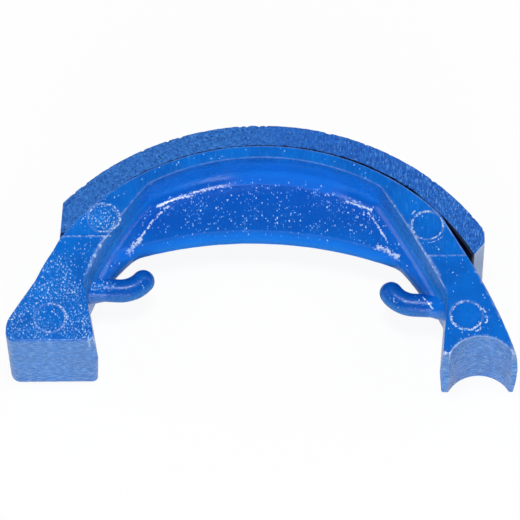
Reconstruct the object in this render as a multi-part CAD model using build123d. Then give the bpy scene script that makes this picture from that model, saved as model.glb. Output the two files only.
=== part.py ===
"""Drum brake shoe: a die-cast body with cast spring horns and a bonded friction lining.

The shoe lies on its side. Z runs along the drum axis, Z = 0 is the parting plane at mid width,
and +Y points to the crown of the lining. The outlines are laid out about the drum axis, and the
finished pieces are then moved so that the origin is the axis of the pivot pin.
"""
import math
import os

from build123d import *

# Friction lining
drum_radius = 110.0
lining_thickness = 9.6
lining_left_angle = 137.8
lining_right_angle = 32.8
lining_left_heel_angle = 145.2
lining_right_heel_angle = 28.2
lining_right_facet = 5.4
chip_radius = 2.6

# Overall casting
casting_width = 36.5
flank_cut = 0.5
edge_round = 0.8

# Table and arms
table_thickness = 6.4
crown_left_angle = 119.0
crown_right_angle = 58.5
crown_corner_radius = 6.5
arm_left_depth = 20.1
arm_right_depth = 18.8
arm_left_angle = 152.5
arm_right_angle = 21.8
arm_left_hollow = 2.3
arm_right_hollow = 1.0
arm_knee_radius = 11.0
arm_relief = 0.8
arm_blend_radius = 20.0
arm_outer_left_angle = 157.5
seat_left_angle = 145.5
seat_ramp_angle = 3.0
seat_right_angle = 42.0
right_arm_waist = 2.7
right_arm_waist_angle = 28.0
right_arm_bow = 1.2
flank_left_angle = 144.6
flank_right_angle = 28.7

# Cam pad, the flat foot on the left
pad_height = 10.0
pad_width = 37.3
pad_overhang = 3.2
pad_shoulder = 9.0
pad_corner_radius = 4.2
pad_corner_bite = 0.25
pad_shoulder_radius = 12.0

# Pivot notch, the hollow foot on the right
pivot_radius = 14.2
pivot_inset = 10.6
pivot_drop = 3.4
lip_height = 6.4
lip_inner_reach = 16.5
lip_outer_reach = 14.0

# Web between the arms
web_thickness = 6.5
web_ledge = 4.6
web_depth = 36.2
web_arch_flattening = 50.0
web_arch_tilt = 3.0
web_corner_radius = 10.0
web_edge_round = 2.7
pocket_draft = 3.0
pocket_fillet = 5.0

# Spring horns
horn_radius = 4.8
horn_angle = 28.0
horn_tilt = 3.5
horn_left_straight = 9.5
horn_right_straight = 10.9
horn_bend_radius = 12.0
horn_bend_angle = 54.0
horn_root_flare = 2.2
horn_root_length = 5.0
horn_root_sink = 0.3

# Ejector pin marks on the upper flank
mark_radius = 6.5
mark_depth = 0.4
arm_mark_inset = 7.4
arm_mark_left_angle = 134.0
arm_mark_right_angle = 42.1
foot_mark_height = 20.5
pad_mark_inset = 18.0
pivot_mark_inset = 5.6

seat_radius = drum_radius - lining_thickness
crown_radius = seat_radius - table_thickness
arm_left_radius = seat_radius - arm_left_depth
arm_right_radius = seat_radius - arm_right_depth
arm_outer_radius = seat_radius - arm_relief
half_width = casting_width / 2
flank_height = half_width - flank_cut
half_web = web_thickness / 2
web_arch_radius = drum_radius + web_arch_flattening
horn_line = arm_right_radius * math.sin(math.radians(horn_angle))
pivot_x = seat_radius - pivot_inset
pivot_y = -pivot_drop
lip_y = pivot_y + lip_height
pad_outer_x = -(seat_radius + pad_overhang)
pad_inner_x = pad_outer_x + pad_width
reach = 2 * drum_radius
FROM_BASE = (Align.CENTER, Align.CENTER, Align.MIN)


def polar(radius, angle):
    """Point at a radius and an angle about the drum axis."""
    return Vector(radius * math.cos(math.radians(angle)), radius * math.sin(math.radians(angle)))


def arc_about_axis(radius, start_angle, end_angle):
    """Arc centred on the drum axis."""
    middle = (start_angle + end_angle) / 2
    return ThreePointArc(polar(radius, start_angle), polar(radius, middle), polar(radius, end_angle))


def bowed_line(start, end, bow):
    """Shallow arc that stands off its chord by bow, to the left of the way from start to end."""
    chord = end - start
    side = Vector(-chord.Y, chord.X).normalized()
    return ThreePointArc(start, (start + end) / 2 + side * bow, end)


def round_corners(face, corners):
    """Round the corners of a flat face: each entry is the corner's point and its radius."""
    for point, radius in corners:
        corner = face.vertices().sort_by_distance(point)[0]
        face = fillet(corner, radius)
    return face


def inner_points():
    """Points where the inner outline of the feet, arms and crown changes direction."""
    return {
        "right_lip": Vector(pivot_x - lip_inner_reach, lip_y),
        "right_knee": polar(arm_right_radius, arm_right_angle),
        "right_corner": polar(crown_radius, crown_right_angle),
        "left_corner": polar(crown_radius, crown_left_angle),
        "left_knee": polar(arm_left_radius, arm_left_angle),
        "left_pad": Vector(pad_inner_x, pad_height),
    }


def inner_edges(points):
    """Inner outline from the right knee over the crown to the left knee."""
    return [
        bowed_line(points["right_knee"], points["right_corner"], -arm_right_hollow),
        arc_about_axis(crown_radius, crown_right_angle, crown_left_angle),
        bowed_line(points["left_corner"], points["left_knee"], -arm_left_hollow),
    ]


def blank_face():
    """Plan of the outer outline, filled in between the feet."""
    points = inner_points()
    pad_corner = Vector(pad_outer_x, pad_height)
    shoulder = Vector(pad_outer_x, pad_height + pad_shoulder)
    arm_start = polar(arm_outer_radius, arm_outer_left_angle)
    arm_end = polar(arm_outer_radius, seat_left_angle + seat_ramp_angle)
    seat_start = polar(seat_radius, seat_left_angle)
    seat_end = polar(seat_radius, seat_right_angle)
    waist = polar(seat_radius - right_arm_waist, right_arm_waist_angle)
    lip_corner = Vector(pivot_x + lip_outer_reach, lip_y)
    edges = [
        Line(pad_corner, shoulder),
        Line(shoulder, arm_start),
        arc_about_axis(arm_outer_radius, arm_outer_left_angle, seat_left_angle + seat_ramp_angle),
        Line(arm_end, seat_start),
        arc_about_axis(seat_radius, seat_left_angle, seat_right_angle),
        Line(seat_end, waist),
        bowed_line(waist, lip_corner, right_arm_bow),
        Line(lip_corner, points["right_lip"]),
        Line(points["right_lip"], points["left_pad"]),
        Line(points["left_pad"], pad_corner),
    ]
    return round_corners(
        make_face(edges),
        [
            (pad_corner, pad_corner_radius),
            (shoulder, pad_shoulder_radius),
            (arm_start, arm_blend_radius),
            (arm_end, arm_blend_radius),
            (seat_start, arm_blend_radius),
            (seat_end, arm_blend_radius),
            (waist, arm_blend_radius),
        ],
    )


def pocket_face():
    """Plan of the pocket between the arms at mid width, left open past both feet."""
    points = inner_points()
    right_exit = points["right_lip"] * 2 - points["right_knee"]
    left_exit = points["left_pad"] * 2 - points["left_knee"]
    edges = [
        Line(right_exit, points["right_knee"]),
        *inner_edges(points),
        Line(points["left_knee"], left_exit),
        Line(left_exit, right_exit),
    ]
    return round_corners(
        make_face(edges),
        [
            (points["right_knee"], arm_knee_radius),
            (points["right_corner"], crown_corner_radius),
            (points["left_corner"], crown_corner_radius),
            (points["left_knee"], arm_knee_radius),
        ],
    )


def horn_frame(side):
    """Root point and heading of a horn: side is -1 on the left arm and 1 on the right."""
    tilt = -horn_tilt
    inward = Vector(-side, 0).rotate(Axis.Z, tilt)
    across = Vector(0, 1).rotate(Axis.Z, tilt)
    arm_radius = arm_right_radius if side > 0 else arm_left_radius
    half_chord = math.sqrt(arm_radius**2 - horn_line**2)
    root = across * horn_line - inward * half_chord
    return root, inward


def above_horns():
    """Half plane on the crown's side of the line through both horns."""
    return Rot(0, 0, -horn_tilt) * Pos(0, horn_line + reach / 2) * Rectangle(reach, reach)


def web_window():
    """Plan of the open arch above the horns, which leaves the web and a ledge along each arm."""
    arch_centre = Vector(0, seat_radius - web_depth - web_arch_radius).rotate(Axis.Z, -web_arch_tilt)
    crown_disc = Pos(arch_centre.X, arch_centre.Y) * Circle(web_arch_radius)
    ledge_disc = Circle(arm_right_radius - web_ledge)
    window = crown_disc & ledge_disc & above_horns()
    peaks = window.vertices().sort_by(Axis.Y)[-2:]
    return fillet(peaks, web_corner_radius)


def inner_cutters():
    """Tools that hollow the upper half: the pocket with its rounded floor, and the gap of the feet."""
    block = extrude(pocket_face(), half_width + edge_round)
    walls = block.faces().filter_by(lambda face: abs(face.normal_at().Z) < 0.5)
    drafted = draft(walls, Plane.XY, -pocket_draft)
    crown_side = extrude(above_horns(), casting_width, both=True)
    pocket = drafted - Box(2 * reach, 2 * reach, web_thickness)
    pocket = fillet(pocket.faces().sort_by(Axis.Z)[0].edges(), pocket_fillet)
    return [pocket & crown_side, drafted - crown_side, extrude(web_window(), casting_width)]


def horn(side):
    """Cast spring horn: a round bar from the arm that curls up towards the crown, domed tip."""
    root, inward = horn_frame(side)
    start = root - inward * horn_root_length
    straight = horn_right_straight if side > 0 else horn_left_straight
    bend_start = root + inward * straight
    centre = bend_start + inward.rotate(Axis.Z, -90 * side) * horn_bend_radius
    middle = centre + (bend_start - centre).rotate(Axis.Z, -side * horn_bend_angle / 2)
    bend_end = centre + (bend_start - centre).rotate(Axis.Z, -side * horn_bend_angle)
    heading = inward.rotate(Axis.Z, -side * horn_bend_angle)
    path = Line(start, bend_start) + ThreePointArc(bend_start, middle, bend_end)
    bar = sweep(Plane(origin=start, z_dir=inward) * Circle(horn_radius), path=path)
    dome = Sphere(horn_radius, arc_size1=0, align=FROM_BASE)
    flare = Cone(horn_radius + horn_root_flare, horn_radius - horn_root_sink, 2 * horn_root_length)
    return bar + Plane(origin=bend_end, z_dir=heading) * dome + Plane(origin=root, z_dir=inward) * flare


def flank_cutter():
    """Tool that mills the flank of the table and arms down to the width of the lining."""
    left_line = polar(seat_radius, flank_left_angle).Y
    right_line = polar(seat_radius, flank_right_angle).Y
    left = Pos(-reach / 2, left_line + reach / 2) * Rectangle(reach, reach)
    right = Pos(reach / 2, right_line + reach / 2) * Rectangle(reach, reach)
    return Pos(0, 0, flank_height) * extrude(left + right, half_width)


def pad_corner_cutter():
    """Tool that rounds the upright inner corner of the cam pad, leaning with the drafted wall."""
    block_size = pad_corner_radius + edge_round
    block = Box(block_size, block_size, 2 * casting_width, align=(Align.MIN, Align.MAX, Align.CENTER))
    rounding = Cylinder(pad_corner_radius, 3 * casting_width)
    inset = pad_corner_radius - pad_corner_bite
    return Pos(pad_inner_x - inset, pad_height + inset) * Rot(0, -pocket_draft, 0) * (block - rounding)


def ejector_marks():
    """Shallow round marks that the ejector pins leave on the upper flank."""
    arm_radius = seat_radius - arm_mark_inset
    places = [
        (polar(arm_radius, arm_mark_left_angle), flank_height),
        (polar(arm_radius, arm_mark_right_angle), flank_height),
        (Vector(pad_outer_x + pad_mark_inset, foot_mark_height), half_width),
        (Vector(pivot_x - pivot_mark_inset, foot_mark_height), half_width),
    ]
    pin = Cylinder(mark_radius, half_width, align=FROM_BASE)
    return [Pos(point.X, point.Y, top - mark_depth) * pin for point, top in places]


def level_edges(body, level):
    """Edges that lie flat at a height above the parting plane."""
    return body.edges().filter_by_position(Axis.Z, level - 0.01, level + 0.01)


def ridge_edges(body):
    """Edges where the pocket walls and the inner sides of the feet meet the flank."""
    outer_limit = crown_radius + table_thickness / 3
    lower_limit = max(pad_height, lip_y) + edge_round
    edges = level_edges(body, half_width)
    return edges.filter_by(lambda edge: (edge @ 0.5).length < outer_limit and (edge @ 0.5).Y > lower_limit)


def web_edges(body):
    """Edges of the web along the open arch."""
    outer_limit = arm_right_radius - web_ledge / 2
    arcs = level_edges(body, half_web).filter_by(GeomType.CIRCLE)
    return arcs.filter_by(lambda edge: (edge @ 0.5).length < outer_limit and (edge @ 0.5).Y > horn_line)


def upper_half():
    """The casting above its parting plane, without horns: rim, web, pocket and milled flank."""
    half = extrude(blank_face(), half_width)
    half = fillet(level_edges(half, half_width), edge_round)
    for cutter in inner_cutters():
        half = half - cutter
    half = fillet(ridge_edges(half), edge_round)
    half = fillet(web_edges(half), web_edge_round)
    return half - pad_corner_cutter() - flank_cutter()


def shoe_casting():
    """The cast body: two like halves, the horns, the pivot notch and the ejector pin marks."""
    half = upper_half()
    body = half + mirror(half, Plane.XY) + horn(-1) + horn(1)
    notch = Pos(pivot_x, pivot_y) * Cylinder(pivot_radius, 2 * casting_width)
    return body - notch - ejector_marks()


def friction_lining():
    """Friction block: a ring sector with sawn ends, as wide as the milled table."""
    left_corner = polar(drum_radius, lining_left_angle)
    right_corner = polar(drum_radius, lining_right_angle)
    left_heel = polar(seat_radius, lining_left_heel_angle)
    right_heel = polar(seat_radius, lining_right_heel_angle)
    facet_end = right_corner - Vector(0, lining_right_facet)
    outline = make_face(
        [
            arc_about_axis(drum_radius, lining_left_angle, lining_right_angle),
            Line(right_corner, facet_end),
            Line(facet_end, right_heel),
            arc_about_axis(seat_radius, lining_right_heel_angle, lining_left_heel_angle),
            Line(left_heel, left_corner),
        ]
    )
    block = extrude(outline, flank_height, both=True)
    return block - Pos(left_heel.X, left_heel.Y + chip_radius, flank_height) * Sphere(chip_radius)


parts = {"shoe_casting": shoe_casting(), "friction_lining": friction_lining()}
os.makedirs("parts", exist_ok=True)
for name, solid in parts.items():
    placed = Pos(-pivot_x, -pivot_y) * solid
    placed.label = name
    export_step(placed, f"parts/{name}.step")
    print(name, placed.bounding_box(), round(placed.volume), placed.is_valid)
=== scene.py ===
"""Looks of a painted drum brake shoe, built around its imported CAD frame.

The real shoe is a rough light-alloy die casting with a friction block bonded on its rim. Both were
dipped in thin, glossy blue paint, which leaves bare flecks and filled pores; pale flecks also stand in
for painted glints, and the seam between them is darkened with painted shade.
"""
import math

import bmesh
import bpy
from mathutils import Matrix, Vector, kdtree, noise


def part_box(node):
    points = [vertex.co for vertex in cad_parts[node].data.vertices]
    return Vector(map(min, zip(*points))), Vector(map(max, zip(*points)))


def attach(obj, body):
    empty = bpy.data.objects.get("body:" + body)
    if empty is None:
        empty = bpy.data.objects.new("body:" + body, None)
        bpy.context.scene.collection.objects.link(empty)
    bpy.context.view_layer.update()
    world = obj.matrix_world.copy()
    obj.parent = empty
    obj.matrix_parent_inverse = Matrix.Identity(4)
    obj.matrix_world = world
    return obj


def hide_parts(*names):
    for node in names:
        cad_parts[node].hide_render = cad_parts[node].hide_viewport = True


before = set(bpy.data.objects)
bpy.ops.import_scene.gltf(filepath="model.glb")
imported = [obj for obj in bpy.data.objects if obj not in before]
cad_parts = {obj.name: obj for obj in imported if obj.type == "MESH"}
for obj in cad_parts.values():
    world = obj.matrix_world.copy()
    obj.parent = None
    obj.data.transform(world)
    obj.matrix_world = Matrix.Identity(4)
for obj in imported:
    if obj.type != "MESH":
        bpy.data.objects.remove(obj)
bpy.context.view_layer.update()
MM = 0.001

# Casting skin: one die casting in light alloy, with its arms, web, feet and horns in one piece.
# Its surface is the CAD surface cut into small triangles, so that the unevenness of the cast skin,
# the drafted outer lip and the leaning end of the cam pad are real geometry.
casting_low, casting_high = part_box("shoe_casting")
half_width = casting_high.z
weld_gap = 0.002 * MM
skin_edge = 1.5 * MM
skin_passes = 9
crease_angle = math.radians(34)
ridge_angle = math.radians(9)
ridge_reach = 1.5 * MM
lip_bulge = 1.4 * MM
lip_bulge_top = 36 * MM
pad_lean = 1.0 * MM
pad_lean_top, pad_lean_low = 26 * MM, 14 * MM
pad_reach = 45 * MM
wave_size, wave_height = 3.4 * MM, 0.06 * MM
pit_size, pit_height = 1.3 * MM, 0.05 * MM
pit_shift = Vector((7, 3, 1))


def finish_mesh(built, piece_name):
    """Turn a bmesh into an object in the scene."""
    mesh = bpy.data.meshes.new(piece_name)
    built.to_mesh(mesh)
    built.free()
    piece = bpy.data.objects.new(piece_name, mesh)
    bpy.context.scene.collection.objects.link(piece)
    return piece


def fine_skin(node_name, piece_name, edge_length):
    """Copy a CAD node's surface, weld it and halve its long edges down to edge_length.

    The half that lies on the table and isn't seen is left twice as coarse.
    """
    skin = bmesh.new()
    skin.from_mesh(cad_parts[node_name].data)
    bmesh.ops.remove_doubles(skin, verts=skin.verts, dist=weld_gap)
    bmesh.ops.dissolve_degenerate(skin, edges=skin.edges, dist=weld_gap / 2)
    for edge in skin.edges:
        edge.smooth = not edge.is_manifold or edge.calc_face_angle() < crease_angle
    for _ in range(skin_passes):
        long_edges = []
        for edge in skin.edges:
            middle = (edge.verts[0].co.z + edge.verts[1].co.z) / 2
            if edge.calc_length() > edge_length * (1 if middle > 0 else 2):
                long_edges.append(edge)
        bmesh.ops.subdivide_edges(skin, edges=long_edges, cuts=1, use_grid_fill=False)
        bmesh.ops.triangulate(skin, faces=[face for face in skin.faces if len(face.verts) > 3])
    for face in skin.faces:
        face.smooth = True
    return finish_mesh(skin, piece_name)


def ease(value, start, end):
    """Smooth step from 0 at start to 1 at end."""
    share = min(max((value - start) / (end - start), 0), 1)
    return share * share * (3 - 2 * share)


def mark_ridges(piece, reach):
    """Store how near each point lies to a convex edge, from 0 to 1, as the attribute ridge."""
    shape = bmesh.new()
    shape.from_mesh(piece.data)
    tree = kdtree.KDTree(len(shape.edges))
    for index, edge in enumerate(shape.edges):
        if edge.is_manifold and edge.calc_face_angle_signed() > ridge_angle:
            tree.insert((edge.verts[0].co + edge.verts[1].co) / 2, index)
    tree.balance()
    nearness = [max(1 - tree.find(vertex.co)[2] / reach, 0) for vertex in shape.verts]
    shape.free()
    piece.data.attributes.new("ridge", "FLOAT", "POINT").data.foreach_set("value", nearness)


# Lines in plan, in millimetres, of painted glint, partly bare metal where the paint broke: at the foot of
# the pocket's walls, on the horns' roots and on their tips. Each has its half width and its strength.
glint_low, glint_high = 2 * MM, 9 * MM
glint_from_y = 30 * MM
glint_lines = [
    ([(-132.5, 83.2), (-127.5, 85.8), (-123.4, 87.2), (-118.8, 88.1)], 0.8 * MM, 0.95),
    ([(-118.8, 88.1), (-110.8, 90.9), (-102.0, 93.0)], 0.9 * MM, 0.6),
    ([(-127.9, 83.4), (-131.6, 80.1), (-134.9, 75.9), (-138.6, 70.2), (-141.0, 66.0)], 0.6 * MM, 1.0),
    ([(-140.0, 67.0), (-142.7, 64.2), (-144.3, 61.4)], 1.6 * MM, 0.92),
    ([(-62.0, 88.6), (-53.6, 84.7)], 0.9 * MM, 0.62),
    ([(-56.0, 85.8), (-48.2, 82.8), (-43.3, 80.8)], 0.6 * MM, 0.95),
    ([(-44.9, 79.4), (-41.7, 74.7), (-38.8, 69.5), (-37.2, 65.7)], 0.6 * MM, 1.0),
    ([(-41.4, 63.4), (-36.9, 61.5), (-33.2, 58.6)], 1.8 * MM, 0.88),
    ([(-22.8, 39.2), (-18.8, 34.1)], 0.5 * MM, 0.95),
    ([(-158.8, 42.0), (-154.8, 46.2)], 0.5 * MM, 0.8),
    ([(-139.5, 48.0), (-137.6, 44.3)], 1.0 * MM, 0.55),
    ([(-37.2, 40.0), (-32.5, 35.6)], 1.0 * MM, 0.55),
]


def mark_glint_lines(piece):
    """Store how near each low point inside the shoe lies to a painted glint line, as the attribute broken."""
    nearness = [0.0] * len(piece.data.vertices)
    for index, vertex in enumerate(piece.data.vertices):
        if not glint_low <= vertex.co.z <= glint_high or vertex.co.y < glint_from_y:
            continue
        place = Vector((vertex.co.x, vertex.co.y))
        for corners, half_line, strength in glint_lines:
            for start, end in zip(corners, corners[1:]):
                start, end = Vector(start) * MM, Vector(end) * MM
                share = min(max((place - start).dot(end - start) / (end - start).length_squared, 0), 1)
                gap = (place - start.lerp(end, share)).length
                nearness[index] = max(nearness[index], strength * (1 - gap / (2 * half_line)))
    piece.data.attributes.new("broken", "FLOAT", "POINT").data.foreach_set("value", nearness)


casting = fine_skin("shoe_casting", "cast_body", skin_edge)
mark_ridges(casting, ridge_reach)
mark_glint_lines(casting)
skin_normals = [vertex.normal.copy() for vertex in casting.data.vertices]
for vertex, normal in zip(casting.data.vertices, skin_normals):
    place = vertex.co.copy()
    level = place.z / half_width
    if place.x > 0:
        outward = max(normal.x, 0) * ease(place.y, lip_bulge_top, casting_low.y)
        vertex.co.x += lip_bulge * outward * (1 - level * level)
    if place.x < casting_low.x + pad_reach:
        vertex.co.y -= pad_lean * ease(place.y, pad_lean_top, pad_lean_low) * (1 - level) / 2
    wave = wave_height * noise.noise(place / wave_size)
    pit = pit_height * noise.noise(place / pit_size + pit_shift)
    vertex.co += normal * (wave + pit)
    vertex.co.z = max(vertex.co.z, casting_low.z)
casting.data.update()


def linear(hex_colour):
    """Turn an sRGB hex colour such as "#1264c8" into linear RGBA."""
    channels = [int(hex_colour[i : i + 2], 16) / 255 for i in (1, 3, 5)]
    return tuple(c / 12.92 if c <= 0.04045 else ((c + 0.055) / 1.055) ** 2.4 for c in channels) + (1,)


def add_node(tree, kind, inputs=None, output=0, **settings):
    """Add a node with its settings, set or link its inputs, and give back one of its outputs."""
    node = tree.nodes.new("ShaderNode" + kind)
    for name, value in settings.items():
        setattr(node, name, value)
    for name, value in (inputs or {}).items():
        if isinstance(value, bpy.types.NodeSocket):
            tree.links.new(value, node.inputs[name])
        else:
            node.inputs[name].default_value = value
    return node.outputs[output]


def new_material(name):
    """Empty material with a Principled shader; returns the material, its tree and the shader."""
    material = bpy.data.materials.new(name)
    material.use_nodes = True
    tree = material.node_tree
    return material, tree, tree.nodes["Principled BSDF"]


# Ejector pins left four round marks on the upper flank; the one on the cam arm is the roughest.
# These places in plan, in millimetres, steer the paint: the marks, the middles of the two horns, the
# arch of the web's low edge, the middles of its rim and of the crown's fillet, and the steps where the
# feet stand proud of the milled flank.
cam_arm_mark = (-154.4, 70.3, 0)
pivot_arm_mark = (-20.8, 65.8, 0)
cam_foot_mark = (-175.4, 23.9, 0)
pivot_foot_mark = (-5.6, 23.9, 0)
mark_radius = 6.5
cam_horn_middle = (-140, 44, 0)
pivot_horn_middle = (-34, 38, 0)
arch_centre = (-94.8, -92.3, 0)
arch_radius = 160
rim_middle_x, crown_middle_x = -92, -79
cam_step_y, pivot_step_y = 61.6, 51.6
drum_axis = Vector((-89.8, 3.4, 0)) * MM


def casting_paint():
    """Alkyd enamel, thinly dipped over a die casting: glossy, with pale flecks, partly bare metal where
    it missed and partly painted glints.

    The flecks lie thickest on the cam foot and on its arm's ejector mark, are few on the other arm,
    and follow the chipped rim of the pivot notch.
    """
    material, tree, shader = new_material("blue_enamel_on_die_cast_aluminium")
    object_place = add_node(tree, "TexCoord", output="Object")
    place = add_node(tree, "VectorMath", {0: object_place, 1: (1000, 1000, 1000)}, operation="MULTIPLY")
    plan = add_node(tree, "VectorMath", {0: place, 1: (1, 1, 0)}, operation="MULTIPLY")
    x = add_node(tree, "SeparateXYZ", {0: place}, "X")
    y = add_node(tree, "SeparateXYZ", {0: place}, "Y")
    z = add_node(tree, "SeparateXYZ", {0: place}, "Z")
    normal = add_node(tree, "NewGeometry", output="Normal")
    upward = add_node(tree, "SeparateXYZ", {0: normal}, "Z")
    on_top = add_node(tree, "MapRange", {0: upward, 1: 0.75, 2: 0.95}, interpolation_type="SMOOTHSTEP")

    # How many flecks, bare metal and painted glints, from 0 to 1, by place in millimetres
    foot_x = add_node(tree, "MapRange", {0: x, 1: -142, 2: -160}, interpolation_type="SMOOTHSTEP")
    foot_y = add_node(tree, "MapRange", {0: y, 1: 66, 2: 36, 3: 0.3, 4: 1.0}, interpolation_type="SMOOTHSTEP")
    foot = add_node(tree, "Math", {0: foot_x, 1: foot_y}, operation="MULTIPLY")
    mark_gap = add_node(tree, "VectorMath", {0: plan, 1: cam_arm_mark}, "Value", operation="DISTANCE")
    mark = add_node(tree, "MapRange", {0: mark_gap, 1: mark_radius + 0.3, 2: mark_radius - 0.5})
    depth = add_node(tree, "Math", {0: z}, operation="ABSOLUTE")
    low_z = add_node(tree, "MapRange", {0: depth, 1: 6, 2: 4})
    floor_y = add_node(
        tree, "MapRange", {0: y, 1: 60, 2: 76, 3: 0.04, 4: 0.3}, interpolation_type="SMOOTHSTEP"
    )
    web = add_node(tree, "Math", {0: low_z, 1: floor_y}, operation="MULTIPLY")
    rim_gap = add_node(tree, "VectorMath", {0: plan}, "Value", operation="LENGTH")
    rim = add_node(
        tree, "MapRange", {0: rim_gap, 1: 17.0, 2: 14.8, 3: 0.0, 4: 0.8}, interpolation_type="SMOOTHSTEP"
    )
    share = foot
    for mask in (mark, web, rim, 0.05):
        share = add_node(tree, "Math", {0: share, 1: mask}, operation="MAXIMUM")
    cloud = add_node(tree, "TexNoise", {"Vector": place, "Scale": 1 / 8, "Detail": 2.0})
    cloud = add_node(tree, "MapRange", {0: cloud, 1: 0.38, 2: 0.62, 3: 0.35, 4: 1.35})
    smooth_gap = add_node(tree, "VectorMath", {0: plan, 1: pivot_foot_mark}, "Value", operation="DISTANCE")
    not_smooth = add_node(tree, "Math", {0: smooth_gap, 1: mark_radius - 0.4}, operation="GREATER_THAN")
    for mask in (cloud, on_top, not_smooth):
        share = add_node(tree, "Math", {0: share, 1: mask}, operation="MULTIPLY")

    # Flecks 0.3 to 0.8 mm wide, one in a cell 1 mm across, a little longer up the shoe than across; the
    # pale ones stand partly for bare metal and partly for painted glints
    ragged = add_node(tree, "TexNoise", {"Vector": place, "Scale": 1 / 0.5, "Detail": 2.0}, "Color")
    ragged = add_node(tree, "VectorMath", {0: ragged, 1: (0.8, 0.8, 0.8), 2: place}, operation="MULTIPLY_ADD")
    cells = add_node(tree, "VectorMath", {0: ragged, 1: (1 / 0.8, 1 / 1.2, 0)}, operation="MULTIPLY")
    sockets = {"Vector": cells, "Scale": 1.0}
    cell_gap = add_node(tree, "TexVoronoi", sockets, "Distance", voronoi_dimensions="2D")
    cell_colour = add_node(tree, "TexVoronoi", sockets, "Color", voronoi_dimensions="2D")
    chance = add_node(tree, "SeparateColor", {0: cell_colour}, 0)
    speck_size = add_node(tree, "SeparateColor", {0: cell_colour}, 1)
    speck_size = add_node(tree, "MapRange", {0: speck_size, 3: 0.13, 4: 0.38})
    present = add_node(tree, "Math", {0: chance, 1: share}, operation="LESS_THAN")
    inside = add_node(tree, "Math", {0: speck_size, 1: cell_gap}, operation="SUBTRACT")
    inside = add_node(tree, "MapRange", {0: inside, 1: -0.08, 2: 0.1})
    bare_and_glint_flecks = add_node(tree, "Math", {0: inside, 1: present}, operation="MULTIPLY")
    speck_blue = add_node(tree, "SeparateColor", {0: cell_colour}, 2)
    speck_blue = add_node(tree, "Math", {0: speck_blue, 1: 1.8}, operation="POWER")
    fleck_colour_with_glints = add_node(
        tree, "Mix", {0: speck_blue, 6: linear("#2a8cee"), 7: linear("#bfe4ff")}, 2, data_type="RGBA"
    )

    # Finer specks 0.5 mm wide among them, where the paint is only thin
    fine = add_node(tree, "TexNoise", {"Vector": place, "Scale": 1 / 0.55, "Detail": 3.0})
    fine = add_node(tree, "MapRange", {0: fine, 1: 0.55, 2: 0.66, 3: 0.0, 4: 0.75})
    fine_share = add_node(tree, "MapRange", {0: share, 1: 0.1, 2: 0.8})
    fine = add_node(tree, "Math", {0: fine, 1: fine_share}, operation="MULTIPLY")

    # Painted highlights along the convex edges, most of all along the inside of the arms, with real chips on
    # the rim of the notch, and the lines of painted glint, torn over 0.9 mm
    ridge = add_node(tree, "Attribute", output="Fac", attribute_name="ridge")
    edge_patchiness = add_node(tree, "TexNoise", {"Vector": place, "Scale": 1 / 1.8, "Detail": 3.0})
    edge_patchiness = add_node(tree, "MapRange", {0: edge_patchiness, 1: 0.42, 2: 0.62, 3: 0.45, 4: 1.0})
    high_z = add_node(tree, "MapRange", {0: z, 1: 10, 2: 14})
    edge_highlights_and_chips = add_node(tree, "MapRange", {0: ridge, 1: 0.35, 2: 0.95}, interpolation_type="SMOOTHSTEP")
    chipped = add_node(tree, "Math", {0: rim, 1: 0.5, 2: 0.35}, operation="MULTIPLY_ADD")
    axis = tuple(drum_axis / MM)
    inner_gap = add_node(tree, "VectorMath", {0: plan, 1: axis}, "Value", operation="DISTANCE")
    inner_edge_highlight = add_node(tree, "MapRange", {0: inner_gap, 1: 88, 2: 86, 3: 0.0, 4: 0.4})
    chipped = add_node(tree, "Math", {0: chipped, 1: inner_edge_highlight}, operation="ADD")
    for mask in (high_z, edge_patchiness, chipped):
        edge_highlights_and_chips = add_node(tree, "Math", {0: edge_highlights_and_chips, 1: mask}, operation="MULTIPLY")
    # The attribute broken carries the lines of painted glint, partly bare metal; torn noise breaks them up
    broken = add_node(tree, "Attribute", output="Fac", attribute_name="broken")
    torn = add_node(tree, "TexNoise", {"Vector": place, "Scale": 1 / 0.9, "Detail": 4.0})
    broken = add_node(tree, "Math", {0: torn, 1: 1.4, 2: broken}, operation="MULTIPLY_ADD")
    broken = add_node(tree, "MapRange", {0: broken, 1: 1.3, 2: 1.46, 3: 0.0, 4: 0.95})
    edge_highlights_and_chips = add_node(tree, "Math", {0: edge_highlights_and_chips, 1: broken}, operation="MAXIMUM")

    # Thickness of the coat, clouded over 14 mm and dusted over 0.7 mm; darker in the web's pocket floor and
    # on the two horns, which is painted shade in the pocket and under the arms
    thick = add_node(tree, "TexNoise", {"Vector": place, "Scale": 1 / 14, "Detail": 3.0})
    thick = add_node(tree, "MapRange", {0: thick, 1: 0.35, 2: 0.65})
    pocket_floor_y = add_node(tree, "MapRange", {0: y, 1: 66, 2: 76, 3: 0.2, 4: 1.0}, interpolation_type="SMOOTHSTEP")
    pocket_floor_painted_shade = add_node(tree, "Math", {0: low_z, 1: pocket_floor_y}, operation="MULTIPLY")
    cam_horn = add_node(tree, "VectorMath", {0: plan, 1: cam_horn_middle}, "Value", operation="DISTANCE")
    pivot_horn = add_node(tree, "VectorMath", {0: plan, 1: pivot_horn_middle}, "Value", operation="DISTANCE")
    horn_gap = add_node(tree, "Math", {0: cam_horn, 1: pivot_horn}, operation="MINIMUM")
    horns = add_node(tree, "MapRange", {0: horn_gap, 1: 15.5, 2: 12.5})
    horns = add_node(tree, "Math", {0: horns, 1: low_z}, operation="MULTIPLY")
    horn_painted_shade = add_node(tree, "Math", {0: horns, 1: 0.75}, operation="MULTIPLY")
    dust = add_node(tree, "TexNoise", {"Vector": place, "Scale": 1 / 0.7, "Detail": 4.0})
    dust = add_node(tree, "MapRange", {0: dust, 1: 0.5, 2: 0.72, 3: 0.0, 4: 0.2})

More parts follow.
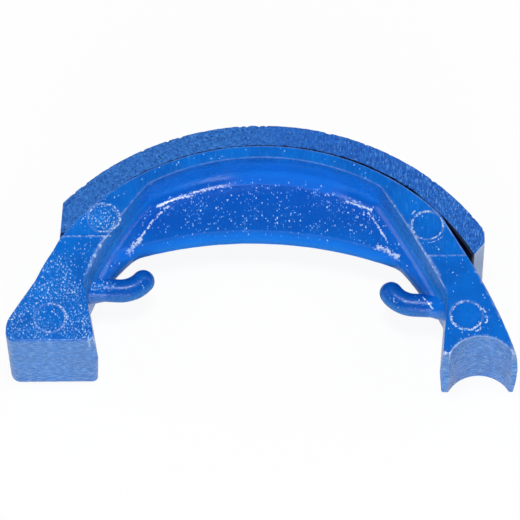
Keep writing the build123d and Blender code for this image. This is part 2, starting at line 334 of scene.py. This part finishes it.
    # Milling streaks 0.5 mm wide under the paint of the table and arms
    stretched = add_node(tree, "VectorMath", {0: place, 1: (1 / 0.5, 1 / 6, 0)}, operation="MULTIPLY")
    milling = add_node(tree, "TexNoise", {"Vector": stretched, "Scale": 1.0, "Detail": 2.0})
    milled = add_node(tree, "MapRange", {0: x, 1: -100, 2: -80, 3: cam_step_y, 4: pivot_step_y})
    milled = add_node(tree, "Math", {0: y, 1: milled}, operation="GREATER_THAN")
    high = add_node(tree, "Math", {0: high_z, 1: on_top}, operation="MULTIPLY")
    milled = add_node(tree, "Math", {0: milled, 1: high}, operation="MULTIPLY")
    pale_streaks = add_node(tree, "MapRange", {0: milling, 1: 0.5, 2: 0.72, 3: 0.0, 4: 0.45})
    pale_streaks = add_node(tree, "Math", {0: pale_streaks, 1: milled}, operation="MULTIPLY")

    # Upright walls, matt and granular, with dark pinholes 0.6 mm wide, painted paler as a reflection of the
    # white table; on the ends of the feet, ripples 0.9 mm high and 2.6 mm long with painted highlight on
    # their crests and painted shade in their troughs; painted light brightens the wall under the crown
    upright = add_node(tree, "MapRange", {0: upward, 1: 0.75, 2: 0.3})
    upright_painted_reflection = add_node(tree, "MapRange", {0: y, 1: 84, 2: 72, 3: 0.08, 4: 0.4})
    upright_painted_reflection = add_node(tree, "Math", {0: upright, 1: upright_painted_reflection}, operation="MULTIPLY")
    crown_wall_painted_light = add_node(tree, "MapRange", {0: y, 1: 78, 2: 86, 3: 0.0, 4: 0.55})
    not_top = add_node(tree, "MapRange", {0: z, 1: 16, 2: 13})
    for mask in (not_top, upright):
        crown_wall_painted_light = add_node(tree, "Math", {0: crown_wall_painted_light, 1: mask}, operation="MULTIPLY")
    level = add_node(tree, "VectorMath", {0: place, 1: (1 / 2.6, 1 / 2.6, 1 / 0.9)}, operation="MULTIPLY")
    ripples = add_node(tree, "TexNoise", {"Vector": level, "Scale": 1.0, "Detail": 2.0})
    foot_end = add_node(tree, "MapRange", {0: y, 1: 26, 2: 18})
    foot_end = add_node(tree, "Math", {0: foot_end, 1: upright}, operation="MULTIPLY")
    ripple_painted_highlight = add_node(tree, "MapRange", {0: ripples, 1: 0.48, 2: 0.68, 3: 0.0, 4: 0.5})
    ripple_painted_highlight = add_node(tree, "Math", {0: ripple_painted_highlight, 1: foot_end}, operation="MULTIPLY")
    ripple_painted_shade = add_node(tree, "MapRange", {0: ripples, 1: 0.46, 2: 0.32, 3: 0.0, 4: 0.55})
    ripple_painted_shade = add_node(tree, "Math", {0: ripple_painted_shade, 1: foot_end}, operation="MULTIPLY")
    grit = add_node(tree, "TexNoise", {"Vector": place, "Scale": 1 / 0.6, "Detail": 2.0})
    pinholes = add_node(tree, "MapRange", {0: grit, 1: 0.36, 2: 0.3, 3: 0.0, 4: 0.7})
    pinholes = add_node(tree, "Math", {0: pinholes, 1: upright}, operation="MULTIPLY")

    # Two blues by the coat's thickness, and over them each mask's own colour
    blues = {0: thick, 6: linear("#005cc0"), 7: linear("#006dd6")}
    colour = add_node(tree, "Mix", blues, 2, data_type="RGBA")
    for mask, shade in (
        (pocket_floor_painted_shade, linear("#0056bc")),
        (horn_painted_shade, linear("#004aa6")),
        (dust, linear("#2088e0")),
        (pale_streaks, linear("#2c8ae6")),
        (upright_painted_reflection, linear("#3a90d0")),
        (crown_wall_painted_light, linear("#0a7cec")),
        (ripple_painted_highlight, linear("#8ab8ee")),
        (ripple_painted_shade, linear("#1560ae")),
        (fine, linear("#3f97ee")),
        (bare_and_glint_flecks, fleck_colour_with_glints),
        (pinholes, linear("#052a63")),
        (edge_highlights_and_chips, linear("#d2e4fa")),
    ):
        colour = add_node(tree, "Mix", {0: mask, 6: colour, 7: shade}, 2, data_type="RGBA")

    # Orange peel 3 mm wide, the specks as small bumps, and grit and level ripples on the walls
    peel = add_node(tree, "TexNoise", {"Vector": place, "Scale": 1 / 3.0, "Detail": 2.0})
    height = add_node(tree, "Math", {0: bare_and_glint_flecks, 1: 0.06}, operation="MULTIPLY")
    height = add_node(tree, "Math", {0: peel, 1: 0.12, 2: height}, operation="MULTIPLY_ADD")
    grit_height = add_node(tree, "Math", {0: upright, 1: 0.16, 2: 0.06}, operation="MULTIPLY_ADD")
    height = add_node(tree, "Math", {0: grit, 1: grit_height, 2: height}, operation="MULTIPLY_ADD")
    ripple_height = add_node(tree, "Math", {0: upright, 1: 0.3}, operation="MULTIPLY")
    ripple_height = add_node(tree, "Math", {0: foot_end, 1: 0.35, 2: ripple_height}, operation="MULTIPLY_ADD")
    height = add_node(tree, "Math", {0: ripples, 1: ripple_height, 2: height}, operation="MULTIPLY_ADD")
    bump = add_node(tree, "Bump", {"Height": height, "Distance": MM, "Strength": 1.0})

    # Gloss, duller on the low rim of the web, in the middle of the crown's fillet, on the walls and horns
    gloss = add_node(tree, "TexNoise", {"Vector": place, "Scale": 1 / 5, "Detail": 3.0})
    roughness = add_node(tree, "MapRange", {0: gloss, 1: 0.3, 2: 0.7, 3: 0.11, 4: 0.18})
    arch_gap = add_node(tree, "VectorMath", {0: plan, 1: arch_centre}, "Value", operation="DISTANCE")
    low_rim = add_node(tree, "MapRange", {0: arch_gap, 1: arch_radius + 4.5, 2: arch_radius + 3})
    rim_from = add_node(tree, "Math", {0: arch_gap, 1: arch_radius - 1}, operation="GREATER_THAN")
    rim_x = add_node(tree, "Math", {0: x, 1: -rim_middle_x}, operation="ADD")
    rim_x = add_node(tree, "Math", {0: rim_x}, operation="ABSOLUTE")
    rim_x = add_node(tree, "MapRange", {0: rim_x, 1: 60, 2: 56})
    for mask in (rim_from, low_z, rim_x):
        low_rim = add_node(tree, "Math", {0: low_rim, 1: mask}, operation="MULTIPLY")
    crown_x = add_node(tree, "Math", {0: x, 1: -crown_middle_x}, operation="ADD")
    crown_x = add_node(tree, "Math", {0: crown_x}, operation="ABSOLUTE")
    crown = add_node(tree, "MapRange", {0: crown_x, 1: 30, 2: 16}, interpolation_type="SMOOTHSTEP")
    crown_y = add_node(tree, "MapRange", {0: y, 1: 80, 2: 84}, interpolation_type="SMOOTHSTEP")
    not_high = add_node(tree, "MapRange", {0: z, 1: 14, 2: 11})
    not_floor = add_node(tree, "MapRange", {0: upward, 1: 0.996, 2: 0.985})
    for mask in (crown_y, not_high, not_floor):
        crown = add_node(tree, "Math", {0: crown, 1: mask}, operation="MULTIPLY")
    dull = add_node(tree, "Math", {0: low_rim, 1: crown}, operation="MAXIMUM")
    for mask, added in ((dull, 0.55), (upright, 0.12), (horns, 0.16)):
        roughness = add_node(tree, "Math", {0: mask, 1: added, 2: roughness}, operation="MULTIPLY_ADD")

    # The dull parts get a lighter blue, a painted soft highlight, and less shine; the horns shine in patches
    dull_zone_painted_light = add_node(tree, "Math", {0: dull, 1: 0.45}, operation="MULTIPLY")
    colour = add_node(tree, "Mix", {0: dull_zone_painted_light, 6: colour, 7: linear("#117ae8")}, 2, data_type="RGBA")
    horn_film = add_node(tree, "MapRange", {0: torn, 1: 0.62, 2: 0.5})
    horn_film = add_node(tree, "Math", {0: horn_film, 1: horns}, operation="MULTIPLY")
    film = add_node(tree, "Math", {0: dull, 1: horn_film}, operation="MAXIMUM")
    shine = add_node(tree, "MapRange", {0: film, 3: 0.5, 4: 0.14})

    tree.links.new(colour, shader.inputs["Base Color"])
    tree.links.new(roughness, shader.inputs["Roughness"])
    tree.links.new(shine, shader.inputs["Specular IOR Level"])
    tree.links.new(bump, shader.inputs["Normal"])
    shader.inputs["IOR"].default_value = 1.45
    return material


casting.data.materials.append(casting_paint())
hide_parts("shoe_casting")
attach(casting, "root")

# Flash: thin raised lines of metal at the ejector pins and along the milled step, part of the casting.
# They are narrow, broken and uneven, stand a tenth of a millimetre or two proud, and took little paint.
# All sizes here are in millimetres: a line comes and goes over gap_length and wavers over ripple_length.
milled_level = 17.75
foot_level = 18.25
flash_step = 0.35
flash_skirt = 0.12
gap_length = 2.6
ripple_length = 0.6
least_strength = 0.12


def flash_line(points, width, height, seed, cover):
    """Cross-sections of a broken ridge along points on the surface; cover is the share that is there."""
    runs, run = [], []
    for index, point in enumerate(points):
        ahead = points[min(index + 1, len(points) - 1)] - points[max(index - 1, 0)]
        across = Vector((-ahead.y, ahead.x, 0)).normalized()
        shade = noise.noise(point / gap_length + Vector((seed, 0, 0))) * 0.7 + 0.5
        ripple = noise.noise(point / ripple_length + Vector((0, seed, 0)))
        strength = ease(shade, 0.95 - cover, 1.15 - cover) * (1 + 0.5 * ripple)
        if strength < least_strength:
            if len(run) > 2:
                runs.append(run)
            run = []
            continue
        side = across * width * (0.35 + 0.65 * strength) / 2
        middle = point + across * ripple * width * 0.45
        foot = middle + Vector((0, 0, -flash_skirt))
        top = middle + Vector((0, 0, height * strength))
        run.append([foot + side, top + side * 0.3, top - side * 0.3, foot - side])
    if len(run) > 2:
        runs.append(run)
    return runs


def arc_points(centre, radius, start, end, level):
    """Points on an arc in plan, in degrees, at a height."""
    steps = max(int(abs(math.radians(end - start)) * radius / flash_step), 2)
    turns = [math.radians(start + (end - start) * i / steps) for i in range(steps + 1)]
    middle = Vector((centre[0], centre[1], level))
    return [middle + Vector((radius * math.cos(turn), radius * math.sin(turn), 0)) for turn in turns]


def straight_points(start, end, level):
    """Points on a straight line in plan at a height."""
    start, end = Vector((*start, level)), Vector((*end, level))
    steps = max(int((end - start).length / flash_step), 2)
    return [start.lerp(end, i / steps) for i in range(steps + 1)]


def flash_piece(name, lines):
    """One object from several broken ridges."""
    flash = bmesh.new()
    for points, width, height, seed, cover in lines:
        for run in flash_line(points, width, height, seed, cover):
            rings = [[flash.verts.new(corner * MM) for corner in ring] for ring in run]
            for ring, following in zip(rings, rings[1:]):
                for i in range(4):
                    flash.faces.new((ring[i], ring[(i + 1) % 4], following[(i + 1) % 4], following[i]))
            flash.faces.new(rings[0])
            flash.faces.new(rings[-1])
    bmesh.ops.recalc_face_normals(flash, faces=flash.faces)
    return finish_mesh(flash, name)


def burr_metal():
    """Burr of die-cast aluminium under a film of enamel: pale, glossy, bluish where the paint held."""
    material, tree, shader = new_material("thinly_enamelled_aluminium_burr")
    object_place = add_node(tree, "TexCoord", output="Object")
    place = add_node(tree, "VectorMath", {0: object_place, 1: (1000, 1000, 1000)}, operation="MULTIPLY")
    held = add_node(tree, "TexNoise", {"Vector": place, "Scale": 1 / 0.9, "Detail": 2.0})
    held = add_node(tree, "MapRange", {0: held, 1: 0.4, 2: 0.66})
    colour = add_node(tree, "Mix", {0: held, 6: linear("#1475dc"), 7: linear("#cfe6fc")}, 2, data_type="RGBA")
    tree.links.new(colour, shader.inputs["Base Color"])
    shader.inputs["Roughness"].default_value = 0.25
    return material


# Each line: its points, width, height, the seed of its breaks, and the share of it that is there
burr = burr_metal()
flash_pieces = {
    "cam_arm_mark_flash": [
        (arc_points(cam_arm_mark, mark_radius + 0.2, -70, 130, milled_level), 1.1, 0.18, 3, 0.75),
        (arc_points(cam_arm_mark, mark_radius - 0.1, 130, 290, milled_level), 0.7, 0.12, 8, 0.6),
    ],
    "pivot_arm_mark_flash": [
        (arc_points(pivot_arm_mark, mark_radius, 60, 250, milled_level), 1.0, 0.18, 5, 0.75),
        (arc_points(pivot_arm_mark, mark_radius, -80, 40, milled_level), 0.8, 0.14, 12, 0.7),
        (arc_points(pivot_arm_mark, 8.2, 100, 185, milled_level), 0.9, 0.14, 21, 0.6),
        (arc_points(pivot_arm_mark, 8.0, 255, 330, milled_level), 0.8, 0.1, 23, 0.6),
    ],
    "cam_foot_mark_flash": [
        (arc_points(cam_foot_mark, mark_radius, -30, 100, foot_level), 1.0, 0.18, 31, 0.75),
        (arc_points(cam_foot_mark, mark_radius, 100, 320, foot_level), 0.6, 0.1, 33, 0.6),
    ],
    "pivot_foot_mark_flash": [
        (arc_points(pivot_foot_mark, mark_radius, 20, 165, foot_level), 1.1, 0.2, 41, 0.85),
        (arc_points(pivot_foot_mark, mark_radius, 185, 330, foot_level), 1.4, 0.24, 43, 0.95),
        (arc_points((-3.9, 22.9), mark_radius, -75, 40, foot_level), 1.1, 0.2, 47, 0.9),
    ],
    "milled_step_burr": [
        (straight_points((-170.0, cam_step_y), (-148.5, cam_step_y), foot_level), 0.35, 0.05, 53, 0.6),
        (straight_points((-22.6, pivot_step_y), (-2.6, pivot_step_y), foot_level), 0.3, 0.04, 57, 0.45),
    ],
}
for name, lines in flash_pieces.items():
    flash = flash_piece(name, lines)
    flash.data.materials.append(burr)
    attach(flash, "root")

# Friction lining: a moulded block of resin-bonded friction compound, glued on the table and sawn to
# width. The thin paint sinks into its pores. A seam runs where the block meets the table, darkened
# with painted shade, and the block's heel at the cam end has a broken corner, its hollow also in painted
# shade.
lining_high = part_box("friction_lining")[1]
outer_radius = lining_high.y - drum_axis.y
lining_thickness = 9.6 * MM
inner_radius = outer_radius - lining_thickness
lining_half_width = lining_high.z
cam_end_angles = math.radians(145.2), math.radians(137.8)
pivot_end_angles = math.radians(28.9), math.radians(32.8)
pivot_end_facet = 5.4 * MM
block_step = 0.75 * MM
seam_width = 0.4 * MM
seam_depth = 1.8 * MM
heel_chip = Vector((-170.6, 62.4, 0)) * MM
heel_chip_depth = 1.6 * MM
heel_chip_reach = 1.7 * MM, 0.8 * MM
heel_swell = 1.2 * MM
heel_sag = 0.8 * MM
face_skin = 0.1 * MM
grain_size, grit_size, grain_height = 2.2 * MM, 0.9 * MM, 0.1 * MM
chip_size, chip_drop, chip_depth = 1.6 * MM, 0.6 * MM, 0.4 * MM


def polar(radius, angle):
    """Point in plan at a radius and an angle about the drum axis."""
    return drum_axis + Vector((radius * math.cos(angle), radius * math.sin(angle), 0))


def end_angle(corners, radius):
    """Angle at which a sawn end, which runs through its corners from the heel outwards, has a radius."""
    for start, end in zip(corners, corners[1:]):
        if (end - drum_axis).length > radius - 1e-7:
            break
    near, far = 0.0, 1.0
    for _ in range(30):
        middle = (near + far) / 2
        if (start.lerp(end, middle) - drum_axis).length < radius:
            near = middle
        else:
            far = middle
    point = start.lerp(end, far) - drum_axis
    return math.atan2(point.y, point.x)


def lining_block():
    """Block as one closed skin: rows around its section along the rim, and a grid on each sawn end."""
    outer_corner = polar(outer_radius, pivot_end_angles[1])
    facet_corner = outer_corner - Vector((0, pivot_end_facet, 0))
    cam_corners = [polar(inner_radius, cam_end_angles[0]), polar(outer_radius, cam_end_angles[1])]
    pivot_corners = [polar(inner_radius, pivot_end_angles[0]), facet_corner, outer_corner]
    rows_out = round(lining_thickness / block_step)
    rows_up = round(2 * lining_half_width / (1.2 * block_step))
    radii = [inner_radius + lining_thickness * i / rows_out for i in range(rows_out + 1)]
    radii = sorted(radii + [inner_radius + seam_width, (facet_corner - drum_axis).length])
    levels = [lining_half_width * (2 * i / rows_up - 1) for i in range(rows_up + 1)]
    low, high = levels[0], levels[-1]
    around = [(r, high) for r in radii] + [(outer_radius, z) for z in reversed(levels[:-1])]
    around += [(r, low) for r in reversed(radii[:-1])] + [(inner_radius, z) for z in levels[1:-1]]
    ends = {}
    for r in radii + [outer_radius, inner_radius]:
        ends[r] = end_angle(cam_corners, r), end_angle(pivot_corners, r)
    steps = round(outer_radius * (cam_end_angles[1] - pivot_end_angles[1]) / block_step)
    block = bmesh.new()
    rows = []
    for i in range(steps + 1):
        row = []
        for r, z in around:
            start, end = ends[r]
            row.append(block.verts.new(polar(r, start + (end - start) * i / steps) + Vector((0, 0, z))))
        rows.append(row)
    for row, following in zip(rows, rows[1:]):
        for j in range(len(around)):
            k = (j + 1) % len(around)
            block.faces.new((row[j], row[k], following[k], following[j]))
    for row, side in ((rows[0], 0), (rows[-1], 1)):
        known = {(round(r * 1e6), round(z * 1e6)): vertex for (r, z), vertex in zip(around, row)}
        cap = {}
        for r in radii:
            for z in levels:
                edge_vertex = known.get((round(r * 1e6), round(z * 1e6)))
                cap[r, z] = edge_vertex or block.verts.new(polar(r, ends[r][side]) + Vector((0, 0, z)))
        for r, r_next in zip(radii, radii[1:]):
            for z, z_next in zip(levels, levels[1:]):
                block.faces.new((cap[r, z], cap[r_next, z], cap[r_next, z_next], cap[r, z_next]))
    bmesh.ops.recalc_face_normals(block, faces=block.faces)
    for face in block.faces:
        face.smooth = True
    for edge in block.edges:
        edge.smooth = edge.calc_face_angle() < crease_angle
    return finish_mesh(block, "friction_block")


lining = lining_block()
block_normals = [vertex.normal.copy() for vertex in lining.data.vertices]
for vertex, normal in zip(lining.data.vertices, block_normals):
    place = vertex.co.copy()
    plan = Vector((place.x, place.y, 0))
    outward = (plan - drum_axis).normalized()
    radius = (plan - drum_axis).length
    on_top = place.z > lining_half_width - face_skin
    if radius > inner_radius + 2 * face_skin:
        grain = noise.noise(place / grain_size) + noise.noise(place / grit_size)
        vertex.co += normal * grain_height * grain
    if radius < inner_radius + face_skin:
        vertex.co -= outward * heel_sag * ease(place.x, -16 * MM, -6 * MM)
    if on_top and radius < inner_radius + face_skin:
        seam = ease(place.x, -148 * MM, -138 * MM) * ease(place.x, -16 * MM, -26 * MM)
        vertex.co.z -= seam_depth * seam * (0.7 + 0.5 * noise.noise(place / (4 * MM)))
    elif on_top and radius < inner_radius + 1.2 * seam_width:
        wider = ease(place.x, -95 * MM, -45 * MM) * ease(place.x, -16 * MM, -26 * MM)
        vertex.co += outward * (0.4 * wider + 0.25 * noise.noise(place / (1.7 * MM))) * MM
    if radius > outer_radius - face_skin and abs(place.z) > lining_half_width - face_skin:
        chip = ease(noise.noise(place / chip_size), 0.2, 0.6)
        vertex.co -= outward * chip * chip_drop
        vertex.co.z -= math.copysign(chip * chip_depth, place.z)
    if on_top:
        vertex.co.z -= heel_chip_depth * ease((plan - heel_chip).length, *heel_chip_reach)
    if normal.x < -0.3 and radius < outer_radius - 0.4 * MM and place.x < -160 * MM:
        vertex.co.x -= heel_swell * ease(place.z, 14 * MM, 0) * ease(radius, outer_radius, inner_radius)
lining.data.update()


def lining_paint():
    """Resin-bonded friction compound under thin paint: matt, granular, with dark pores.

    The cam side is granular, and the pivot side shows upright saw streaks that took the paint unevenly.
    """
    material, tree, shader = new_material("blue_paint_in_friction_compound")
    object_place = add_node(tree, "TexCoord", output="Object")
    place = add_node(tree, "VectorMath", {0: object_place, 1: (1000, 1000, 1000)}, operation="MULTIPLY")
    plan = add_node(tree, "VectorMath", {0: place, 1: (1, 1, 0)}, operation="MULTIPLY")
    x = add_node(tree, "SeparateXYZ", {0: place}, "X")
    axis = tuple(drum_axis / MM)
    radius = add_node(tree, "VectorMath", {0: plan, 1: axis}, "Value", operation="DISTANCE")
    sawn = add_node(tree, "MapRange", {0: x, 1: -110, 2: -60}, interpolation_type="SMOOTHSTEP")

    # Grains 1.5 mm wide and dark pores 0.75 mm wide
    grains = add_node(tree, "TexNoise", {"Vector": place, "Scale": 1 / 1.5, "Detail": 4.0})
    grains = add_node(tree, "MapRange", {0: grains, 1: 0.35, 2: 0.65})
    pores = add_node(tree, "TexNoise", {"Vector": place, "Scale": 1 / 0.75, "Detail": 3.0})
    pore = add_node(tree, "MapRange", {0: pores, 1: 0.42, 2: 0.32, 3: 0.0, 4: 0.85})
    pale = add_node(tree, "MapRange", {0: pores, 1: 0.6, 2: 0.7, 3: 0.0, 4: 0.5})
    blues = {0: grains, 6: linear("#165cb4"), 7: linear("#2f78cc")}
    granular = add_node(tree, "Mix", blues, 2, data_type="RGBA")
    for mask, shade in ((pore, "#092a5c"), (pale, "#6aa6e8")):
        granular = add_node(tree, "Mix", {0: mask, 6: granular, 7: linear(shade)}, 2, data_type="RGBA")

    # Saw streaks 0.5 mm wide and 2 mm long, drawn twice as coarse as real ones, with glints in them
    streak_place = (1 / 0.5, 1 / 2.0, 1 / 0.9)
    stretched = add_node(tree, "VectorMath", {0: place, 1: streak_place}, operation="MULTIPLY")
    streak = add_node(tree, "TexNoise", {"Vector": stretched, "Scale": 1.0, "Detail": 2.5})
    streak_share = add_node(tree, "MapRange", {0: x, 1: -85, 2: -5, 3: 0.35, 4: 0.9})
    streaks = add_node(tree, "MapRange", {0: streak, 1: 0.5, 2: 0.68})
    streaks = add_node(tree, "Math", {0: streaks, 1: streak_share}, operation="MULTIPLY")
    glint = add_node(tree, "TexNoise", {"Vector": place, "Scale": 1 / 0.4, "Detail": 1.0})
    glint = add_node(tree, "MapRange", {0: glint, 1: 0.58, 2: 0.7})
    glint = add_node(tree, "Math", {0: glint, 1: streaks}, operation="MULTIPLY")
    blues = {0: grains, 6: linear("#084fae"), 7: linear("#1569cc")}
    smooth = add_node(tree, "Mix", blues, 2, data_type="RGBA")
    for mask, shade in ((pore, "#093a86"), (streaks, "#3d8ee2"), (glint, "#b4d6fa")):
        smooth = add_node(tree, "Mix", {0: mask, 6: smooth, 7: linear(shade)}, 2, data_type="RGBA")
    colour = add_node(tree, "Mix", {0: sawn, 6: granular, 7: smooth}, 2, data_type="RGBA")

    # Sawn end on the pivot side, painted pale: painted light and reflection on a face the lamps leave in
    # shade
    normal = add_node(tree, "NewGeometry", output="Normal")
    upward = add_node(tree, "SeparateXYZ", {0: normal}, "Z")
    upright = add_node(tree, "MapRange", {0: upward, 1: 0.8, 2: 0.6})
    pivot_end_painted_light = add_node(tree, "MapRange", {0: x, 1: -3.4, 2: -1.6, 3: 0.0, 4: 0.85})
    pivot_end_painted_light = add_node(tree, "Math", {0: pivot_end_painted_light, 1: upright}, operation="MULTIPLY")
    colour = add_node(tree, "Mix", {0: pivot_end_painted_light, 6: colour, 7: linear("#c3d6f2")}, 2, data_type="RGBA")

    # Painted shade, near black, in the seam's crevice, wavering over 1.4 mm, on the lining's inner face on
    # the pivot side and in the broken heel corner
    waver = add_node(tree, "TexNoise", {"Vector": place, "Scale": 1 / 1.4, "Detail": 2.0})
    seam_radius = inner_radius / MM - 0.2
    seam_edge = add_node(tree, "Math", {0: waver, 1: 0.9, 2: seam_radius}, operation="MULTIPLY_ADD")
    wider = add_node(tree, "MapRange", {0: x, 1: -95, 2: -45, 3: 0.0, 4: 0.35})
    seam_edge = add_node(tree, "Math", {0: seam_edge, 1: wider}, operation="ADD")
    past = add_node(tree, "Math", {0: radius, 1: seam_edge}, operation="SUBTRACT")
    seam = add_node(tree, "MapRange", {0: past, 1: 0.25, 2: -0.05})
    seam_from = add_node(tree, "MapRange", {0: x, 1: -148, 2: -140})
    seam = add_node(tree, "Math", {0: seam, 1: seam_from}, operation="MULTIPLY")
    inner_face = add_node(tree, "Math", {0: radius, 1: inner_radius / MM + 0.25}, operation="LESS_THAN")
    pivot_side = add_node(tree, "MapRange", {0: x, 1: -26, 2: -16})
    seam = add_node(tree, "Mix", {0: pivot_side, 2: seam, 3: inner_face}, 0, data_type="FLOAT")
    chip_place = tuple(heel_chip / MM)
    chip_gap = add_node(tree, "VectorMath", {0: plan, 1: chip_place}, "Value", operation="DISTANCE")
    chip = add_node(tree, "MapRange", {0: chip_gap, 1: 1.6, 2: 1.1})
    dark = add_node(tree, "Math", {0: seam, 1: chip}, operation="MAXIMUM")
    colour = add_node(tree, "Mix", {0: dark, 6: colour, 7: linear("#06173a")}, 2, data_type="RGBA")

    streak_height = add_node(tree, "Math", {0: streak, 1: sawn}, operation="MULTIPLY")
    streak_height = add_node(tree, "Math", {0: streak_height, 1: 0.35}, operation="MULTIPLY")
    height = add_node(tree, "Math", {0: pores, 1: 0.35, 2: streak_height}, operation="MULTIPLY_ADD")
    bump = add_node(tree, "Bump", {"Height": height, "Distance": MM, "Strength": 1.0})
    roughness = add_node(tree, "MapRange", {0: pores, 1: 0.3, 2: 0.7, 3: 0.7, 4: 0.45})
    tree.links.new(colour, shader.inputs["Base Color"])
    tree.links.new(bump, shader.inputs["Normal"])
    tree.links.new(roughness, shader.inputs["Roughness"])
    shader.inputs["Specular IOR Level"].default_value = 0.25
    return material


lining.data.materials.append(lining_paint())
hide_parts("friction_lining")
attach(lining, "root")

# Studio: a white paper table under four softboxes, as for a catalogue picture.
# The table shows plain white to the camera and keeps a part of the shoe's shadow.
floor_reach = 3.0
floor_z = casting_low.z - 0.02 * MM
table = bmesh.new()
corners = [(-1, -1), (1, -1), (1, 1), (-1, 1)]
table.faces.new([table.verts.new((x * floor_reach, y * floor_reach, floor_z)) for x, y in corners])
floor = finish_mesh(table, "table_top")


def table_white():
    """White paper: diffuse, lifted to plain white for what looks at it directly or in a gloss."""
    material, tree, shader = new_material("white_paper")
    shader.inputs["Base Color"].default_value = linear("#f8f8f8")
    shader.inputs["Roughness"].default_value = 0.9
    shader.inputs["Specular IOR Level"].default_value = 0.0
    white = add_node(tree, "Emission", {"Color": linear("#ffffff"), "Strength": 1.0})
    camera_ray = add_node(tree, "LightPath", output="Is Camera Ray")
    glossy_ray = add_node(tree, "LightPath", output="Is Glossy Ray")
    through_ray = add_node(tree, "LightPath", output="Is Transmission Ray")
    seen = add_node(tree, "Math", {0: camera_ray, 1: glossy_ray}, operation="MAXIMUM")
    seen = add_node(tree, "Math", {0: seen, 1: through_ray}, operation="MAXIMUM")
    share = add_node(tree, "Math", {0: seen, 1: 0.92}, operation="MULTIPLY")
    mix = add_node(tree, "MixShader", {0: share, 1: shader.outputs["BSDF"], 2: white})
    tree.links.new(mix, tree.nodes["Material Output"].inputs["Surface"])
    return material


floor.data.materials.append(table_white())


def softbox(name, place, size, power):
    """Square area lamp that looks at the shoe."""
    lamp = bpy.data.lights.new(name, "AREA")
    lamp.shape = "SQUARE"
    lamp.size = size
    lamp.energy = power
    lamp_object = bpy.data.objects.new(name, lamp)
    lamp_object.location = place
    aim = Vector((drum_axis.x, 0.06, 0)) - Vector(place)
    lamp_object.rotation_euler = aim.to_track_quat("-Z", "Y").to_euler()
    bpy.context.scene.collection.objects.link(lamp_object)


softbox("overhead_softbox", (-0.09, 0.06, 1.3), 0.35, 10)
softbox("left_softbox", (-1.15, 0.15, 0.6), 0.7, 3)
softbox("right_softbox", (0.95, 0.25, 0.6), 0.7, 3.5)
softbox("front_softbox", (-0.09, -1.2, 0.3), 0.7, 9)

world = bpy.data.worlds.new("studio_air")
bpy.context.scene.world = world
world.use_nodes = True
world.node_tree.nodes["Background"].inputs["Color"].default_value = linear("#ffffff")
world.node_tree.nodes["Background"].inputs["Strength"].default_value = 0.1

# Camera: about 1.7 m away through a long lens, looking down on the shoe from its open side.
camera_place = Vector((-69.2, -733.3, 1513.5)) * MM
camera_aim = Vector((-90.0, 59.4, 0)) * MM
camera_roll = math.radians(1.71)
camera_data = bpy.data.cameras.new("catalogue_camera")
camera_data.sensor_width = 36
camera_data.lens = 284.8
camera_data.clip_end = 20
camera = bpy.data.objects.new("catalogue_camera", camera_data)
look = (camera_aim - camera_place).to_track_quat("-Z", "Y").to_matrix().to_4x4()
camera.matrix_world = Matrix.Translation(camera_place) @ look @ Matrix.Rotation(-camera_roll, 4, "Z")
bpy.context.scene.collection.objects.link(camera)
bpy.context.scene.camera = camera
bpy.context.scene.view_settings.view_transform = "Standard"
